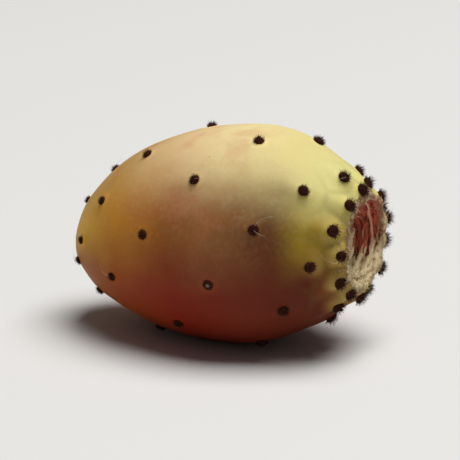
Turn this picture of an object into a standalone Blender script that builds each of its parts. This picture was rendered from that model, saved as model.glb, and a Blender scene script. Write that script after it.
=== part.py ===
"""A prickly pear fruit, picked from its pad and lying on its side.

The fruit is one grown piece: an egg-shaped body, a flat scar where it was picked, a sunken scar
in its crown where the flower fell off, and areoles in a spiral. Each areole sits on a low
swelling of the skin and carries a tuft of short bristles. The axis runs along X from the stem
end to the crown. Both ends droop a little, and the body lies on a small flat spot under its
centre of mass, at the origin.
"""

import math
import random
from collections import namedtuple

import bmesh
import bpy
import numpy as np
from mathutils import Matrix, Vector

MM = 0.001

# The egg, in millimetres: widest at BELLY from the stem end, cut off at the rim of the crown.
# A higher power makes that end leaner. Past its rim the crown would close at CROWN_SPAN.
LENGTH = 75.0
BELLY = 46.0
BELLY_RADIUS = 26.0
STEM_POWER = 0.58
CROWN_SPAN = 39.6
CROWN_POWER = 1.1

# How far each end of the axis sinks, starting from DROOP_START along it
DROOP_START = 20.0
STEM_DROOP = 2.8
CROWN_DROOP = 1.6
FLAT_DEPTH = 0.35

# The scar at the stem end, a shallow dish. Each of its rings has a share of the dish's depth
# and a share of the scar's radius, and the last ring is the corky lip, which stands proud.
STEM_FACE = 1.1
STEM_DISH_DEPTH = 0.7
STEM_DISH_RINGS = ((0.9, 0.45), (0.5, 0.75), (-0.2, 0.92))

# The scar in the crown, a flared pit with a round lip and a ringed floor
LIP_RADIUS = 0.9
LIP_END_LEAN = -75.0
PIT_RADIUS = 8.3
PIT_DEPTH = 5.5
FLOOR_RINGS = 3
FLOOR_RING_HEIGHT = 0.4
BOSS_HEIGHT = 0.9
BOSS_RADIUS = 1.4

# The areoles, in a spiral that crowds towards the crown
AREOLE_COUNT = 58
FIRST_TURN = -24.0
DIVERGENCE = 138.0
FIRST_AREOLE = 4.7
LAST_AREOLE = 74.2
SPREAD_POWER = 2.0
CROWDING_POWER = 3.8

# The swelling under each areole, which runs out longer towards the stem
SWELL_AT_STEM = 0.25
SWELL_AT_RIM = 1.1
SWELL_GROWTH = 5
STEM_REACH = 6.0
CROWN_REACH = 2.8
SIDE_REACH = 2.3

# One tuft of bristles, before it is scaled to its place on the fruit
BRISTLES = 8
CUSHION_RADIUS = 1.25
CUSHION_HEIGHT = 0.3
ROOT_RADIUS = 1.1
ROOT_DEPTH = 0.9
HOLLOW_RADIUS = 0.55
HOLLOW_HEIGHT = 0.6
TIP_RADIUS = 1.2
TIP_HEIGHT = 1.1
TIP_VARIATION = 0.22
MIDDLE_TIP_HEIGHT = 1.5
TUFT_SIZE_AT_STEM = 0.75
TUFT_SIZE_AT_BELLY = 1.05
TUFT_SIZE_AT_RIM = 1.2
TUFT_VARIATION = 0.08
RIM_LEAN = 0.35
RIM_LEAN_GROWTH = 10
SEED = 11

# How finely the skin is divided. A share of END_CROWDING draws the rings towards the ends.
ROUND_STEPS = 60
BODY_RINGS = 30
END_CROWDING = 0.6
LIP_RINGS = 4
WALL_RINGS = 3

# Material slots
SKIN = 0
FELT = 1
SCAR = 2

# A ring of the skin: where it is, how far along the skin, and which way the skin faces there
Station = namedtuple("Station", "x radius along lean")
Areole = namedtuple("Areole", "x angle along swell")


def egg_radius(x):
    """Radius of the plain egg at x."""
    if x < BELLY:
        return BELLY_RADIUS * (1 - ((BELLY - x) / BELLY) ** 2) ** STEM_POWER
    return BELLY_RADIUS * (1 - ((x - BELLY) / CROWN_SPAN) ** 2) ** CROWN_POWER


def slope(shape, x):
    """How fast a length such as the radius changes at x."""
    step = 0.01
    return (shape(x + step) - shape(x - step)) / (2 * step)


def centre_of_mass():
    """Distance along the axis at which the egg balances."""
    places = np.linspace(0.0, LENGTH, 800)
    areas = np.array([egg_radius(x) ** 2 for x in places])
    return float((places * areas).sum() / areas.sum())


BALANCE = centre_of_mass()


def droop(x):
    """How far the axis has sunk at x."""
    towards_stem = max(0.0, (DROOP_START - x) / DROOP_START)
    towards_crown = max(0.0, (x - DROOP_START) / (LENGTH - DROOP_START))
    return STEM_DROOP * towards_stem ** 2 + CROWN_DROOP * towards_crown ** 2


# The slope at which the underside is level where the fruit balances
REST_SLOPE = slope(egg_radius, BALANCE) + slope(droop, BALANCE)


def axis_height(x):
    """Height of the axis above the ground at x."""
    level = egg_radius(BALANCE) - FLAT_DEPTH
    return level + REST_SLOPE * (x - BALANCE) - droop(x) + droop(BALANCE)


def axis_point(x):
    """Point of the axis at x, with the resting spot at the origin."""
    return Vector((x - BALANCE, 0.0, axis_height(x)))


def side_lean(x):
    """The way the egg's side faces at x: 0 is along the axis, a quarter turn is straight out."""
    return math.atan2(1.0, -slope(egg_radius, x))


def stem_scar_rings():
    """The dish where the fruit was picked, from its middle out to its lip."""
    edge = egg_radius(STEM_FACE)
    rings = []
    for depth_share, radius_share in STEM_DISH_RINGS:
        rings.append((STEM_FACE + depth_share * STEM_DISH_DEPTH, radius_share * edge, math.pi))
    return rings


def egg_rings():
    """The egg's side, with rings closer together at its ends."""
    rings = []
    for ring in range(BODY_RINGS + 1):
        even = ring / BODY_RINGS
        crowded = (1 - math.cos(math.pi * even)) / 2
        part = END_CROWDING * crowded + (1 - END_CROWDING) * even
        x = STEM_FACE + (LENGTH - STEM_FACE) * part
        rings.append((x, egg_radius(x), side_lean(x)))
    return rings


def crown_lip_rings():
    """The round lip of the crown, turning from the egg's side into the pit."""
    start = side_lean(LENGTH)
    end = math.radians(LIP_END_LEAN)
    middle_x = LENGTH - LIP_RADIUS * math.cos(start)
    middle_radius = egg_radius(LENGTH) - LIP_RADIUS * math.sin(start)
    rings = []
    for ring in range(1, LIP_RINGS + 1):
        lean = start + (end - start) * ring / LIP_RINGS
        x = middle_x + LIP_RADIUS * math.cos(lean)
        radius = middle_radius + LIP_RADIUS * math.sin(lean)
        rings.append((x, radius, lean))
    return rings


def pit_rings(lip_x, lip_radius):
    """The pit's flared wall, then its ringed floor in to the boss at its middle."""
    floor_x = LENGTH - PIT_DEPTH
    rings = []
    for ring in range(1, WALL_RINGS + 1):
        part = ring / (WALL_RINGS + 1)
        x = lip_x + (floor_x - lip_x) * part
        radius = PIT_RADIUS + (lip_radius - PIT_RADIUS) * (1 - part) ** 2
        rings.append((x, radius, -math.pi / 2))
    spacing = (PIT_RADIUS - BOSS_RADIUS) / (2 * FLOOR_RINGS)
    for ring in range(2 * FLOOR_RINGS):
        raised = FLOOR_RING_HEIGHT if ring % 2 else 0.0
        rings.append((floor_x + raised, PIT_RADIUS - (ring + 0.5) * spacing, 0.0))
    rings.append((floor_x + BOSS_HEIGHT, BOSS_RADIUS / 2, 0.0))
    return rings


def skin_stations():
    """All rings in order, each with its distance along the skin from the stem scar."""
    lip = crown_lip_rings()
    lip_x, lip_radius, _ = lip[-1]
    rings = stem_scar_rings() + egg_rings() + lip + pit_rings(lip_x, lip_radius)
    stations = []
    along = 0.0
    last_x, last_radius, _ = rings[0]
    for x, radius, lean in rings:
        along += math.hypot(x - last_x, radius - last_radius)
        stations.append(Station(x, radius, along, lean))
        last_x = x
        last_radius = radius
    return stations


STATIONS = skin_stations()
EGG_START = len(STEM_DISH_RINGS)
EGG_END = EGG_START + BODY_RINGS
LIP_END = EGG_END + LIP_RINGS


def along_skin(x):
    """Distance along the skin at x on the egg."""
    egg = STATIONS[EGG_START:EGG_END + 1]
    return float(np.interp(x, [place.x for place in egg], [place.along for place in egg]))


def station_at(x):
    """The station at any place on the egg."""
    return Station(x, egg_radius(x), along_skin(x), side_lean(x))


def spiral_areoles():
    """Place the areoles one divergence angle apart, from the stem end to the rim."""
    areoles = []
    for number in range(AREOLE_COUNT):
        part = (number + 0.5) / AREOLE_COUNT
        climbed = 1 - (1 - part ** SPREAD_POWER) ** CROWDING_POWER
        x = FIRST_AREOLE + (LAST_AREOLE - FIRST_AREOLE) * climbed
        angle = math.radians(FIRST_TURN + number * DIVERGENCE)
        growth = (x / LENGTH) ** SWELL_GROWTH
        swell = SWELL_AT_STEM + (SWELL_AT_RIM - SWELL_AT_STEM) * growth
        areoles.append(Areole(x, angle, along_skin(x), swell))
    return areoles


AREOLES = spiral_areoles()


def relief(along, angle, radius):
    """Height of the swellings over the plain egg."""
    height = 0.0
    for areole in AREOLES:
        ahead = along - areole.along
        aside = radius * math.remainder(angle - areole.angle, math.tau)
        reach = CROWN_REACH if ahead > 0 else STEM_REACH
        height += areole.swell * math.exp(-(ahead / reach) ** 2 - (aside / SIDE_REACH) ** 2)
    return height


def skin_point(station, angle):
    """Point of the finished skin, with angle 0 at the top and turning towards -Y."""
    raised = relief(station.along, angle, station.radius)
    x = station.x + raised * math.cos(station.lean)
    radius = station.radius + raised * math.sin(station.lean)
    return axis_point(x) + Vector((0.0, -radius * math.sin(angle), radius * math.cos(angle)))


def skin_normal(x, angle):
    """Direction straight out of the skin."""
    step = 0.4
    turn = step / egg_radius(x)
    here = station_at(x)
    crownward = skin_point(station_at(min(x + step, LENGTH)), angle)
    stemward = skin_point(station_at(x - step), angle)
    around = skin_point(here, angle + turn) - skin_point(here, angle - turn)
    return around.cross(crownward - stemward).normalized()


def make_material(name, colour, roughness):
    material = bpy.data.materials.new(name)
    material.use_nodes = True
    shader = material.node_tree.nodes["Principled BSDF"]
    shader.inputs["Base Color"].default_value = (*colour, 1.0)
    shader.inputs["Roughness"].default_value = roughness
    shader.inputs["Metallic"].default_value = 0.0
    return material


def make_object(name, shape, materials, collection):
    """Turn a shape in millimetres into an object in metres."""
    bmesh.ops.scale(shape, vec=(MM, MM, MM), verts=shape.verts)
    bmesh.ops.recalc_face_normals(shape, faces=shape.faces)
    mesh = bpy.data.meshes.new(name)
    shape.to_mesh(mesh)
    shape.free()
    for material in materials:
        mesh.materials.append(material)
    made = bpy.data.objects.new(name, mesh)
    collection.objects.link(made)
    return made


def make_fruit(materials, collection):
    """The skin: a ring of points at each station, closed by a point at each end."""
    shape = bmesh.new()
    turns = [math.tau * step / ROUND_STEPS for step in range(ROUND_STEPS)]
    rings = []
    for station in STATIONS:
        rings.append([shape.verts.new(skin_point(station, turn)) for turn in turns])
    stem_middle = shape.verts.new(axis_point(STEM_FACE + STEM_DISH_DEPTH))
    crown_middle = shape.verts.new(axis_point(LENGTH - PIT_DEPTH + BOSS_HEIGHT))
    for step in range(ROUND_STEPS):
        after = (step + 1) % ROUND_STEPS
        caps = [
            shape.faces.new((stem_middle, rings[0][step], rings[0][after])),
            shape.faces.new((crown_middle, rings[-1][after], rings[-1][step])),
        ]
        for face in caps:
            face.material_index = SCAR
        for number, (ring, following) in enumerate(zip(rings, rings[1:])):
            face = shape.faces.new((ring[step], following[step], following[after], ring[after]))
            on_side = EGG_START <= number < LIP_END
            face.material_index = SKIN if on_side else SCAR
    return make_object("prickly_pear", shape, materials, collection)


def tuft_shape(draw):
    """A cushion whose bristles splay out around one that stands up in the middle."""
    shape = bmesh.new()

    def corner(radius, turn, height):
        return shape.verts.new((radius * math.cos(turn), radius * math.sin(turn), height))

    root = []
    skirt = []
    hollow = []
    tips = []
    for bristle in range(BRISTLES):
        turn = math.tau * bristle / BRISTLES
        middle = math.tau * (bristle + 0.5) / BRISTLES
        length = 1 + draw.uniform(-TIP_VARIATION, TIP_VARIATION)
        root.append(corner(ROOT_RADIUS, turn, -ROOT_DEPTH))
        skirt.append(corner(CUSHION_RADIUS, turn, CUSHION_HEIGHT))
        hollow.append(corner(HOLLOW_RADIUS, middle, HOLLOW_HEIGHT))
        tips.append(corner(TIP_RADIUS * length, middle, TIP_HEIGHT * length))
    top = shape.verts.new((0.0, 0.0, MIDDLE_TIP_HEIGHT))
    shape.faces.new(reversed(root))
    for bristle in range(BRISTLES):
        after = (bristle + 1) % BRISTLES
        shape.faces.new((root[bristle], root[after], skirt[after], skirt[bristle]))
        shape.faces.new((skirt[bristle], skirt[after], tips[bristle]))
        shape.faces.new((skirt[after], hollow[bristle], tips[bristle]))
        shape.faces.new((hollow[bristle], skirt[bristle], tips[bristle]))
        shape.faces.new((skirt[after], hollow[after], hollow[bristle]))
        shape.faces.new((hollow[bristle], hollow[after], top))
    for face in shape.faces:
        face.material_index = FELT
    return shape


def tuft_size(x):
    """Tufts grow from the stem end to the belly, and again to the rim."""
    places = (0.0, BELLY, LENGTH)
    sizes = (TUFT_SIZE_AT_STEM, TUFT_SIZE_AT_BELLY, TUFT_SIZE_AT_RIM)
    return float(np.interp(x, places, sizes))


def make_tufts(materials, collection):
    """One tuft on each areole, standing out of the skin, and leaning to the crown at the rim."""
    draw = random.Random(SEED)
    for number, areole in enumerate(AREOLES):
        shape = tuft_shape(draw)
        size = tuft_size(areole.x) * (1 + draw.uniform(-TUFT_VARIATION, TUFT_VARIATION))
        spin = Matrix.Rotation(draw.uniform(0.0, math.tau), 4, "Z")
        place = Matrix.Translation(skin_point(station_at(areole.x), areole.angle))
        out = skin_normal(areole.x, areole.angle)
        out.x += RIM_LEAN * (areole.x / LENGTH) ** RIM_LEAN_GROWTH
        stand = out.to_track_quat("Z", "Y").to_matrix().to_4x4()
        bmesh.ops.scale(shape, vec=(size, size, size), verts=shape.verts)
        bmesh.ops.transform(shape, matrix=place @ stand @ spin, verts=shape.verts)
        make_object(f"tuft_{number}", shape, materials, collection)


def apply_modifiers(fruit):
    """Keep the mesh that the modifiers give, without them."""
    evaluated = fruit.evaluated_get(bpy.context.evaluated_depsgraph_get())
    mesh = bpy.data.meshes.new_from_object(evaluated)
    fruit.modifiers.clear()
    fruit.data = mesh


def join_tufts(fruit, tufts):
    """Fuse every tuft to the skin with one union."""
    union = fruit.modifiers.new("tufts", "BOOLEAN")
    union.operation = "UNION"
    union.solver = "EXACT"
    union.operand_type = "COLLECTION"
    union.collection = tufts
    union.material_mode = "TRANSFER"
    apply_modifiers(fruit)
    for tuft in list(tufts.objects):
        bpy.data.objects.remove(tuft)
    bpy.data.collections.remove(tufts)


def press_flat(fruit, collection):
    """Cut away what the ground presses flat under the fruit."""
    depth = 10.0
    shape = bmesh.new()
    bmesh.ops.create_cube(shape, size=1.0)
    bmesh.ops.scale(shape, vec=(2 * LENGTH, 3 * BELLY_RADIUS, depth), verts=shape.verts)
    bmesh.ops.translate(shape, vec=(0.0, 0.0, -depth / 2), verts=shape.verts)
    ground = make_object("ground", shape, [], collection)
    ground.hide_render = True
    ground.display_type = "WIRE"
    cut = fruit.modifiers.new("flat_spot", "BOOLEAN")
    cut.operation = "DIFFERENCE"
    cut.solver = "EXACT"
    cut.object = ground
    apply_modifiers(fruit)
    bpy.data.objects.remove(ground)


for old in list(bpy.data.objects):
    bpy.data.objects.remove(old)

finishes = [
    make_material("skin", (0.55, 0.33, 0.11), 0.5),
    make_material("areole_felt", (0.05, 0.025, 0.015), 0.95),
    make_material("dry_scar", (0.2, 0.1, 0.05), 0.9),
]
whole_scene = bpy.context.scene.collection
tuft_collection = bpy.data.collections.new("tufts")
whole_scene.children.link(tuft_collection)

pear = make_fruit(finishes, whole_scene)
make_tufts(finishes, tuft_collection)
join_tufts(pear, tuft_collection)
press_flat(pear, whole_scene)
for polygon in pear.data.polygons:
    polygon.use_smooth = True
pear.data.set_sharp_from_angle(angle=math.radians(45))
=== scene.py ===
import math

import bpy
import numpy as np
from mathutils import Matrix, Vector, noise


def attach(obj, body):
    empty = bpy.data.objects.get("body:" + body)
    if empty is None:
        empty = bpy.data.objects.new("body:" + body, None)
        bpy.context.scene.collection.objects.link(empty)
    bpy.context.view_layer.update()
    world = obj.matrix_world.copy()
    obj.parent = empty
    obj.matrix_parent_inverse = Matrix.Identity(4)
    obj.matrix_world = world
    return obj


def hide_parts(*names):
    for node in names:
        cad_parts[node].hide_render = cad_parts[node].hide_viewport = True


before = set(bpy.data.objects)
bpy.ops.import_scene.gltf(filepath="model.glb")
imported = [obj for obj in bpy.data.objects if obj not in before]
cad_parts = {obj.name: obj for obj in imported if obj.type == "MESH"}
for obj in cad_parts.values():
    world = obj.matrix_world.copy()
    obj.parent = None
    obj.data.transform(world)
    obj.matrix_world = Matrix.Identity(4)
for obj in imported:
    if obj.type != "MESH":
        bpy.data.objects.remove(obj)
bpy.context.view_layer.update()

# The skin. A waxy, satin rind grown in one piece over the flesh: an egg that droops at both ends and
# is pressed flat where it lies. A low swelling lifts each areole, and where the swellings crowd at
# the crown, folds run down between them. All lengths are in millimetres.
MM = 0.001
LENGTH = 75.0
BELLY = 46.0
BELLY_RADIUS = 26.0
STEM_POWER = 0.58
CROWN_SPAN = 39.6
CROWN_POWER = 1.1
DROOP_START = 20.0
STEM_DROOP = 2.8
CROWN_DROOP = 1.6
FLAT_DEPTH = 0.35


def egg_radius(x):
    """Radius of the plain egg at a distance x from its stem end."""
    stem_side = np.clip(1 - ((BELLY - x) / BELLY) ** 2, 0, 1) ** STEM_POWER
    crown_side = np.clip(1 - ((x - BELLY) / CROWN_SPAN) ** 2, 0, 1) ** CROWN_POWER
    return BELLY_RADIUS * np.where(x < BELLY, stem_side, crown_side)


def droop(x):
    """How far the axis has sunk at x."""
    towards_stem = np.maximum(0, (DROOP_START - x) / DROOP_START)
    towards_crown = np.maximum(0, (x - DROOP_START) / (LENGTH - DROOP_START))
    return STEM_DROOP * towards_stem ** 2 + CROWN_DROOP * towards_crown ** 2


def slope(shape, x):
    """How fast a length such as the radius changes at x."""
    step = 0.01
    return (shape(x + step) - shape(x - step)) / (2 * step)


def side_lean(x):
    """The way the egg's side faces at x: 0 is along the axis, a quarter turn is straight out."""
    return np.arctan2(1, -slope(egg_radius, x))


AXIS_POINTS = 800
AXIS = np.linspace(0, LENGTH, AXIS_POINTS)
BALANCE = float((AXIS * egg_radius(AXIS) ** 2).sum() / (egg_radius(AXIS) ** 2).sum())
REST_SLOPE = float(slope(egg_radius, BALANCE) + slope(droop, BALANCE))
REST_HEIGHT = float(egg_radius(BALANCE)) - FLAT_DEPTH


def turned(x, radius, angle):
    """Points round the drooping axis. An angle of 0 is the top, and it turns towards -Y."""
    height = REST_HEIGHT + REST_SLOPE * (x - BALANCE) - droop(x) + droop(BALANCE)
    across = -radius * np.sin(angle)
    upward = height + radius * np.cos(angle)
    return np.stack(np.broadcast_arrays(x - BALANCE, across, upward), axis=-1)


# The outline of the skin: the egg's side, then the round lip of the crown. Both of its ends run on
# out of sight, under the scar at the stem end and behind the lining of the crown's pit.
STEM_FACE = 1.1
LIP_RADIUS = 0.9
LIP_END_LEAN = math.radians(-75)
PIT_RADIUS = 8.3
PIT_DEPTH = 5.5
END_CROWDING = 0.6
SIDE_RINGS = 236
LIP_RINGS = 18
HIDDEN_DEPTH = 0.9
STEM_HOLLOW = 5.0
ROUND_STEPS = 264


def side_rings(count):
    """Places along the egg's side, closer together at its ends."""
    even = np.linspace(0, 1, count)
    crowded = (1 - np.cos(math.pi * even)) / 2
    part = END_CROWDING * crowded + (1 - END_CROWDING) * even
    return STEM_FACE + (LENGTH - STEM_FACE) * part


def lip_rings(count):
    """The lip's x, radius and lean, from the egg's side round in to the pit."""
    start = float(side_lean(LENGTH))
    lean = np.linspace(start, LIP_END_LEAN, count)
    x = LENGTH + LIP_RADIUS * (np.cos(lean) - math.cos(start))
    radius = egg_radius(LENGTH) + LIP_RADIUS * (np.sin(lean) - math.sin(start))
    return x, radius, lean


def with_along(x, radius, lean):
    """An outline as columns of x, radius, distance along the skin, and lean."""
    steps = np.hypot(np.diff(x), np.diff(radius))
    along = np.concatenate([[0], np.cumsum(steps)])
    return tuple(column[:, None] for column in (x, radius, along, lean))


SIDE_X = side_rings(SIDE_RINGS)
LIP_X, LIP_R, LIP_LEAN = lip_rings(LIP_RINGS)
side = with_along(SIDE_X, egg_radius(SIDE_X), side_lean(SIDE_X))


def along_side(x):
    """Distance along the skin at x on the egg's side."""
    return np.interp(x, side[0][:, 0], side[2][:, 0])


# The spiral of areoles, which crowds towards the crown
AREOLE_COUNT = 58
FIRST_TURN = -24.0
DIVERGENCE = 138.0
FIRST_AREOLE = 4.7
LAST_AREOLE = 74.2
SPREAD_POWER = 2.0
CROWDING_POWER = 3.8
part = (np.arange(AREOLE_COUNT) + 0.5) / AREOLE_COUNT
climbed = 1 - (1 - part ** SPREAD_POWER) ** CROWDING_POWER
AREOLE_X = FIRST_AREOLE + (LAST_AREOLE - FIRST_AREOLE) * climbed
AREOLE_ANGLE = np.radians(FIRST_TURN + DIVERGENCE * np.arange(AREOLE_COUNT))
AREOLE_ALONG = along_side(AREOLE_X)

# The swellings under the areoles, which run out longer towards the stem, and the folds between them
SWELL_AT_STEM = 0.25
SWELL_AT_RIM = 1.1
SWELL_GROWTH = 5
STEM_REACH = 6.0
CROWN_REACH = 2.8
SIDE_REACH = 2.3
KNOB_HEIGHT = 0.35
KNOB_REACH = 1.5
KNOB_GROWTH = 14
FOLD_DEPTH = 0.16
FOLD_WIDTH = 1.5
FOLD_START = 63.0

# The broad unevenness of a grown thing, made of a few waves of random direction and length
UNEVENNESS = 0.12
UNEVEN_SIZE = 26.0
UNEVEN_SEED = 3
WAVES = 9
WAVE_RANGE = (0.6, 1.4)


def from_areole(number, along, angle, radius):
    """How far ahead of an areole and how far aside from it a place on the skin is."""
    aside = np.mod(angle - AREOLE_ANGLE[number] + math.pi, math.tau) - math.pi
    return along - AREOLE_ALONG[number], radius * aside


def fade(value, start, end):
    """Rises smoothly from 0 at start to 1 at end."""
    part = np.clip((value - start) / (end - start), 0, 1)
    return part * part * (3 - 2 * part)


def areole_distances(along, angle, radius):
    """Distances to the nearest areole and to the next nearest one."""
    shape = np.broadcast_shapes(along.shape, angle.shape)
    nearest = np.full(shape, LENGTH)
    second = np.full(shape, LENGTH)
    for number in range(AREOLE_COUNT):
        distance = np.hypot(*from_areole(number, along, angle, radius))
        second = np.minimum(second, np.maximum(nearest, distance))
        nearest = np.minimum(nearest, distance)
    return nearest, second


def fold_shape(along, angle, radius):
    """1 in the middle of a fold between two areoles near the crown, and 0 away from any."""
    nearest, second = areole_distances(along, angle, radius)
    near_crown = fade(along, along_side(FOLD_START), along_side(LENGTH))
    return near_crown * np.exp(-((second - nearest) / FOLD_WIDTH) ** 2)


def soft_waves(points, size, seed):
    """A smooth random height at each point, about 1 at most, with waves about size long."""
    draw = np.random.default_rng(seed)
    height = np.zeros(points.shape[:-1])
    for wave in range(WAVES):
        way = draw.normal(size=3)
        way *= math.tau * draw.uniform(*WAVE_RANGE) / (size * np.linalg.norm(way))
        height += np.sin(points @ way + draw.uniform(0, math.tau))
    return height / math.sqrt(WAVES)


def relief(place, angle):
    """Height of the finished skin over the plain egg."""
    x, radius, along, lean = place
    height = -FOLD_DEPTH * fold_shape(along, angle, radius)
    for number in range(AREOLE_COUNT):
        ahead, aside = from_areole(number, along, angle, radius)
        reach = np.where(ahead > 0, CROWN_REACH, STEM_REACH)
        at_crown = AREOLE_X[number] / LENGTH
        swell = SWELL_AT_STEM + (SWELL_AT_RIM - SWELL_AT_STEM) * at_crown ** SWELL_GROWTH
        height += swell * np.exp(-(ahead / reach) ** 2 - (aside / SIDE_REACH) ** 2)
        knob = KNOB_HEIGHT * at_crown ** KNOB_GROWTH
        height += knob * np.exp(-((ahead + KNOB_REACH / 2) ** 2 + aside ** 2) / KNOB_REACH ** 2)
    broad = soft_waves(turned(x, radius, angle), UNEVEN_SIZE, UNEVEN_SEED)
    return height + UNEVENNESS * broad


def skin_points(place, angle, lift=0.0):
    """Points of the finished skin, or lift above it, pressed flat where they would be underground."""
    x, radius, along, lean = place
    raised = relief(place, angle) + lift
    points = turned(x + raised * np.cos(lean), radius + raised * np.sin(lean), angle)
    points[..., 2] = np.maximum(points[..., 2], 0)
    return points


def closed_rings(rings, first_pole, last_pole):
    """Points and faces of a closed body: rings of points in order, with a pole at each end."""
    count, steps = rings.shape[:2]
    points = np.vstack([rings.reshape(-1, 3), first_pole, last_pole])
    start = steps * np.arange(count - 1)[:, None]
    step = np.arange(steps)
    after = (step + 1) % steps
    corners = [start + step, start + after, start + steps + after, start + steps + step]
    quads = np.stack(corners, axis=-1).reshape(-1, 4)
    last = steps * (count - 1)
    first_fan = np.stack([np.full(steps, count * steps), after, step], axis=-1)
    last_fan = np.stack([np.full(steps, count * steps + 1), last + step, last + after], axis=-1)
    return points, quads.tolist() + first_fan.tolist() + last_fan.tolist()


def make_piece(name, bodies, finish):
    """One smooth mesh object from bodies given as points in millimetres and faces."""
    points = []
    faces = []
    for body_points, body_faces in bodies:
        start = sum(len(group) for group in points)
        points.append(body_points)
        faces.extend([[corner + start for corner in face] for face in body_faces])
    mesh = bpy.data.meshes.new(name)
    mesh.from_pydata((np.vstack(points) * MM).tolist(), [], faces)
    mesh.shade_smooth()
    mesh.materials.append(finish.material)
    piece = bpy.data.objects.new(name, mesh)
    bpy.context.scene.collection.objects.link(piece)
    return piece


def give_values(piece, name, values):
    """Stores a number for each point of a piece, for its finish to read."""
    layer = piece.data.attributes.new(name, "FLOAT", "POINT")
    layer.data.foreach_set("value", np.asarray(values, dtype=np.float32).ravel())


def wrap_map(piece, rings, steps):
    """Unrolls a closed body of rings into a map that its finish can be baked through."""
    mesh = piece.data
    corners = np.empty(len(mesh.loops), dtype=np.int32)
    mesh.loops.foreach_get("vertex_index", corners)
    starts = np.empty(len(mesh.polygons), dtype=np.int32)
    mesh.polygons.foreach_get("loop_start", starts)
    sizes = np.diff(np.append(starts, len(corners)))
    pole = corners >= rings * steps
    column = np.where(pole, np.nan, corners % steps)
    row = np.where(pole, (corners > rings * steps) * (rings + 1), 1 + corners // steps)
    last = np.repeat(np.fmax.reduceat(column, starts), sizes)
    column = np.where((column == 0) & (last == steps - 1), steps, column)
    first = np.repeat(np.fmin.reduceat(column, starts), sizes)
    column = np.where(pole, first + 0.5, column)
    border = 0.002
    unrolled = np.stack([column / steps, row / (rings + 1)], axis=-1)
    unrolled = border + (1 - 2 * border) * unrolled
    layer = mesh.uv_layers.new(name="OFBake")
    layer.data.foreach_set("uv", unrolled.astype(np.float32).ravel())


class Wire:
    """A value in a finish. Arithmetic on wires and numbers adds the Math nodes for it."""

    def __init__(self, finish, socket):
        self.finish = finish
        self.socket = socket

    def maths(self, operation, first, second):
        """The Math node for an operation on two values."""
        return self.finish.node("Math", {"operation": operation}, {0: first, 1: second})

    def __add__(self, other):
        return self.maths("ADD", self, other)

    def __radd__(self, other):
        return self.maths("ADD", other, self)

    def __sub__(self, other):
        return self.maths("SUBTRACT", self, other)

    def __rsub__(self, other):
        return self.maths("SUBTRACT", other, self)

    def __mul__(self, other):
        return self.maths("MULTIPLY", self, other)

    def __rmul__(self, other):
        return self.maths("MULTIPLY", other, self)


class Finish:
    """A material: its shader, and the nodes that vary it over the surface."""

    def __init__(self, name, **constants):
        self.material = bpy.data.materials.new(name)
        self.material.use_nodes = True
        self.tree = self.material.node_tree
        self.shader = self.tree.nodes["Principled BSDF"]
        self.fill(self.shader, constants)
        self.place = self.node("TexCoord", {}, {}, "Object")

    def fill(self, node, values):
        """Gives a node's sockets their values or links, each by its name or number."""
        shown = [socket for socket in node.inputs if socket.enabled]
        named = {socket.name: socket for socket in reversed(shown)}
        for key, value in values.items():
            socket = shown[key] if isinstance(key, int) else named[key.replace("_", " ")]
            if isinstance(value, Wire):
                self.tree.links.new(value.socket, socket)
            elif socket.type == "RGBA":
                socket.default_value = (*value, 1.0)
            else:
                socket.default_value = value

    def node(self, kind, settings, values, output=None):
        """Any node: its kind, its settings, which are set first, and its sockets' values or links."""
        made = self.tree.nodes.new("ShaderNode" + kind)
        for name, setting in settings.items():
            if name == "stops":
                self.set_stops(made.color_ramp, setting)
            else:
                setattr(made, name, setting)
        self.fill(made, values)
        shown = [socket for socket in made.outputs if socket.enabled]
        named = {socket.name: socket for socket in reversed(shown)}
        return Wire(self, named[output] if output else shown[0])

    def set_stops(self, ramp, stops):
        """Sets a colour ramp's positions and colours."""
        while len(ramp.elements) < len(stops):
            ramp.elements.new(1.0)
        for element, (position, tint) in zip(ramp.elements, stops):
            element.position = position
            element.color = (*tint, 1.0)

    def read(self, name):
        """A number that was stored on the piece for each of its points."""
        return self.node("Attribute", {"attribute_name": name}, {}, "Fac")

    def ramp(self, value, stops):
        """The colour at a value from 0 to 1 between stops of position and colour."""
        return self.node("ValToRGB", {"stops": stops}, {"Fac": value}, "Color")

    def bump(self, height, strength, depth):
        """Fine relief of a height from about 0 to 1, depth millimetres deep."""
        return self.node("Bump", {}, {"Strength": strength, "Distance": depth * MM, "Height": height})

    def mix(self, factor, first, second, blend="MIX"):
        """Blends two colours."""
        settings = {"data_type": "RGBA", "blend_type": blend}
        return self.node("Mix", settings, {"Factor": factor, "A": first, "B": second})

    def fade(self, value, start, end):
        """Rises smoothly from 0 at start to 1 at end."""
        settings = {"interpolation_type": "SMOOTHSTEP"}
        return self.node("MapRange", settings, {"Value": value, "From Min": start, "From Max": end})

    def cloud(self, size, detail, roughness=0.5):
        """Random values from 0 to 1 with lumps about size millimetres across."""
        values = {"Vector": self.place, "Scale": 1 / (size * MM), "Detail": detail, "Roughness": roughness}
        return self.node("TexNoise", {}, values)


def screen_colour(red, green, blue):
    """A colour given as on a screen, from 0 to 255, as the shader takes it."""
    return tuple(((value / 255 + 0.055) / 1.055) ** 2.4 for value in (red, green, blue))


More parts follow.
